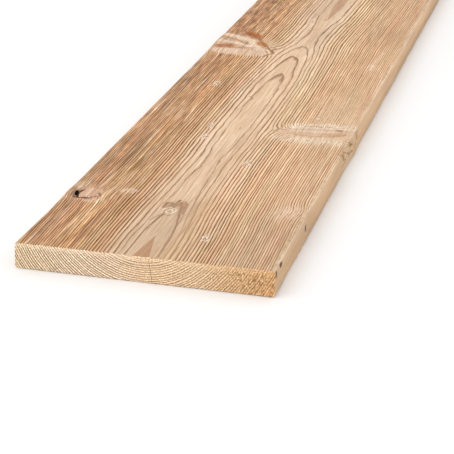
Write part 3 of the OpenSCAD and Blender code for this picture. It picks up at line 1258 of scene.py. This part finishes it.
# Painted shade inside the knot hole and the drying check: near black, and a dark brown
HOLE_SHADE = paint(0.022, 0.011, 0.008)
HOLE_SHADE_BROWN = paint(0.11, 0.05, 0.028)
HOLE_ROUGHNESS = 0.9


def painted_shade_wall():
    """Walls of the knot hole and of the drying check: dark painted shade, with browner patches."""
    material, (across, along, depth) = wood_material("cut wall in painted shade")
    mottle = noise(across / 1.0, along / 2.0, depth / 1.5, 2.0) * 0.4 + 0.4
    dress(material, mix(mottle, HOLE_SHADE, HOLE_SHADE_BROWN), HOLE_ROUGHNESS)
    return material


# The board's materials by their place in its list; the wall in painted shade comes in with the cutters
FACE, EDGE, END, UNDERSIDE = range(4)
# A face belongs to the side that it looks to from this share upwards
MOSTLY = 0.75


def side_of(normal):
    """The material of a face, from the way that it looks."""
    if abs(normal.y) > MOSTLY:
        return END
    if normal.z > MOSTLY:
        return FACE
    if normal.z < -MOSTLY:
        return UNDERSIDE
    return EDGE


def finish_faces(board):
    """Gives each face of the board its material."""
    place = ("Across", "Along", "Depth")
    rings = node_group("Growth rings", place, ("Ring", "Latewood", "Rim", "Weight"), growth_rings)
    fibres = node_group("Wood fibres", place, ("Fine", "Broad", "Hairline", "Dark"), wood_fibres)
    groups = mark_groups("ShaderNodeTree", "Painted")
    materials = {
        FACE: brushed_face(rings, fibres, groups), EDGE: sawn_edge(rings, fibres, groups),
        END: sawn_end(rings), UNDERSIDE: plain_underside(rings, fibres),
    }
    for kind in sorted(materials):
        board.data.materials.append(materials[kind])
    for face in board.data.polygons:
        face.material_index = side_of(face.normal)


# Layout of the surface for a baked picture

# Strips of the square, as their left, right, lower and upper limits: the long faces lie side by side
TOP_STRIP = (0.004, 0.404, 0.004, 0.996)
UNDER_STRIP = (0.412, 0.812, 0.004, 0.996)
LEFT_STRIP = (0.820, 0.864, 0.004, 0.996)
RIGHT_STRIP = (0.872, 0.916, 0.004, 0.996)
FRONT_STRIP = (0.924, 0.968, 0.004, 0.496)
BACK_STRIP = (0.924, 0.968, 0.504, 0.996)
HOLE_STRIP = (0.976, 0.996, 0.004, 0.240)
HOLE_FLOOR_STRIP = (0.976, 0.996, 0.248, 0.330)
CHECK_STRIP = (0.976, 0.984, 0.340, 0.660)
CHECK_FAR_STRIP = (0.988, 0.996, 0.340, 0.660)
CHECK_CAP_STRIP = (0.976, 0.996, 0.668, 0.750)
CHECK_END_STRIP = (0.976, 0.996, 0.758, 0.996)
# Room round the nominal shape for its relief, in metres
SIDE_ROOM = 0.002
HEIGHT_ROOM = 0.001
CHECK_ROOM = 0.003
HOLE_ROOM_ACROSS = 0.004
HOLE_ROOM_ALONG = 0.007
# The walls of the hole stand in a row in their strip: the row's length, and the width of a wall in it
HOLE_ROW = 0.92
HOLE_WALL = 0.06
# A cut face looks along an axis from this share upwards
STEEP = 0.5


def share(value, low, high):
    """How far a value lies between two limits, kept within them."""
    return min(max((value - low) / (high - low), 0.0), 1.0)


def place_in_strip(strip, right, up):
    """Where a point of a strip lies in the square."""
    left, far, lower, upper = strip
    return (left + right * (far - left), lower + up * (upper - lower))


def check_place(normal, point, height):
    """The strip of a face of the drying check, and how far its point lies across and along it."""
    inward = share(point.y, FRONT, FRONT + CHECK_REACH / MM)
    sideways = share(point.x, CHECK_ACROSS / MM - CHECK_ROOM, CHECK_ACROSS / MM + CHECK_ROOM)
    if abs(normal.z) > STEEP:
        return CHECK_CAP_STRIP, sideways, inward
    if abs(normal.y) > STEEP:
        return CHECK_END_STRIP, sideways, height
    return (CHECK_STRIP if normal.x > 0 else CHECK_FAR_STRIP), height, inward


def hole_place(normal, point, height):
    """The strip of a face of the knot hole, and how far its point lies across and along it."""
    aside = point.x - HOLE_PLACE[0] / MM
    ahead = point.y - FRONT - HOLE_PLACE[1] / MM
    if abs(normal.z) > STEEP:
        across = share(aside, -HOLE_ROOM_ACROSS, HOLE_ROOM_ACROSS)
        return HOLE_FLOOR_STRIP, across, share(ahead, -HOLE_ROOM_ALONG, HOLE_ROOM_ALONG)
    start = math.atan2(normal.x, normal.y)
    wall = start + math.pi / 2
    step = share(ahead * math.cos(wall) + aside * math.sin(wall), -HOLE_ROOM_ACROSS, HOLE_ROOM_ACROSS)
    turn = (start + math.pi) / (2 * math.pi)
    return HOLE_STRIP, height, turn * HOLE_ROW + step * HOLE_WALL


def strip_place(face, point):
    """The strip of a face, and how far its point lies across and along it."""
    across = share(point.x, -HALF_WIDTH - SIDE_ROOM, HALF_WIDTH + SIDE_ROOM)
    along = share(point.y, -HALF_LENGTH, HALF_LENGTH)
    height = share(point.z, -HEIGHT_ROOM, THICKNESS + HEIGHT_ROOM)
    if face.material_index == FACE:
        return TOP_STRIP, across, along
    if face.material_index == UNDERSIDE:
        return UNDER_STRIP, across, along
    if face.material_index == EDGE:
        return (LEFT_STRIP if point.x < 0 else RIGHT_STRIP), height, along
    if face.material_index == END:
        return (FRONT_STRIP if point.y < 0 else BACK_STRIP), height, across
    cut_place = check_place if point.x > 0 else hole_place
    return cut_place(face.normal, point, height)


def lay_out(board):
    """Lays the faces side by side in the square, with most of its room for the two broad faces."""
    layer = board.data.uv_layers.new(name="OFBake")
    for face in board.data.polygons:
        for corner in face.loop_indices:
            point = board.data.vertices[board.data.loops[corner].vertex_index].co
            layer.data[corner].uv = place_in_strip(*strip_place(face, point))


# Floor, light and camera

FLOOR_SIZE = 20.0
FLOOR_DROP = 0.0005
FLOOR_COLOUR = paint(0.95, 0.95, 0.95)
FLOOR_ROUGHNESS = 0.9
WORLD_STRENGTH = 0.98
LAMP_POWER = 16.0
LAMP_SIZE = 2.5
LAMP_PLACE = Vector((-0.9, -2.4, 1.9))
LAMP_AIM = Vector((0, -0.5, 0))
# The camera that was fitted to the photograph: millimetres, degrees and metres
LENS = 124.6
SENSOR = 36.0
SIGHT = 50.0
CAMERA_YAW = 14.39
CAMERA_PITCH = 22.33
CAMERA_ROLL = 0.53
CAMERA_PLACE = (0.3153, FRONT - 0.9873, 0.4688)


def lay_floor():
    """A plain pale floor, a little below the board."""
    deselect_everything()
    bpy.ops.mesh.primitive_plane_add(size=FLOOR_SIZE, location=(0, 0, -FLOOR_DROP))
    floor = bpy.context.object
    floor.name = "floor"
    material = bpy.data.materials.new("pale floor")
    material.use_nodes = True
    dress(material, FLOOR_COLOUR, FLOOR_ROUGHNESS)
    floor.data.materials.append(material)


def set_light():
    """White light from all round, and a large soft box at the front left."""
    world = bpy.data.worlds.new("studio")
    world.use_nodes = True
    background = world.node_tree.nodes["Background"]
    background.inputs["Color"].default_value = WHITE
    background.inputs["Strength"].default_value = WORLD_STRENGTH
    bpy.context.scene.world = world
    lamp = bpy.data.lights.new("soft box", "AREA")
    lamp.shape = "RECTANGLE"
    lamp.size = LAMP_SIZE
    lamp.size_y = LAMP_SIZE
    lamp.energy = LAMP_POWER
    box = bpy.data.objects.new("soft box", lamp)
    bpy.context.collection.objects.link(box)
    box.location = LAMP_PLACE
    box.rotation_euler = (LAMP_AIM - LAMP_PLACE).to_track_quat("-Z", "Y").to_euler()


def set_camera():
    """The photograph's view: along the board from the front end, looking down."""
    lens = bpy.data.cameras.new("camera")
    lens.lens = LENS
    lens.sensor_width = SENSOR
    lens.clip_end = SIGHT
    camera = bpy.data.objects.new("camera", lens)
    bpy.context.collection.objects.link(camera)
    yaw, pitch, roll = (math.radians(angle) for angle in (CAMERA_YAW, CAMERA_PITCH, CAMERA_ROLL))
    forward = Vector((-math.sin(yaw) * math.cos(pitch), math.cos(yaw) * math.cos(pitch), -math.sin(pitch)))
    level = forward.cross(Vector((0, 0, 1))).normalized()
    upright = level.cross(forward)
    right = level * math.cos(roll) + upright * math.sin(roll)
    up = upright * math.cos(roll) - level * math.sin(roll)
    turn = Matrix((right, up, -forward)).transposed()
    camera.matrix_world = Matrix.Translation(CAMERA_PLACE) @ turn.to_4x4()
    bpy.context.scene.camera = camera


SMOOTH_UP_TO = math.radians(35)

set_camera()
lay_floor()
set_light()
bpy.context.scene.view_settings.view_transform = "Standard"
board = model_board()
finish_faces(board)
apply_nodes(board, brushed_relief_tree())
cut_away(board, cutters(painted_shade_wall()))
deselect_everything()
board.select_set(True)
bpy.context.view_layer.objects.active = board
bpy.ops.object.shade_smooth_by_angle(angle=SMOOTH_UP_TO)
lay_out(board)
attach(board, "root")
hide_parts("plank")
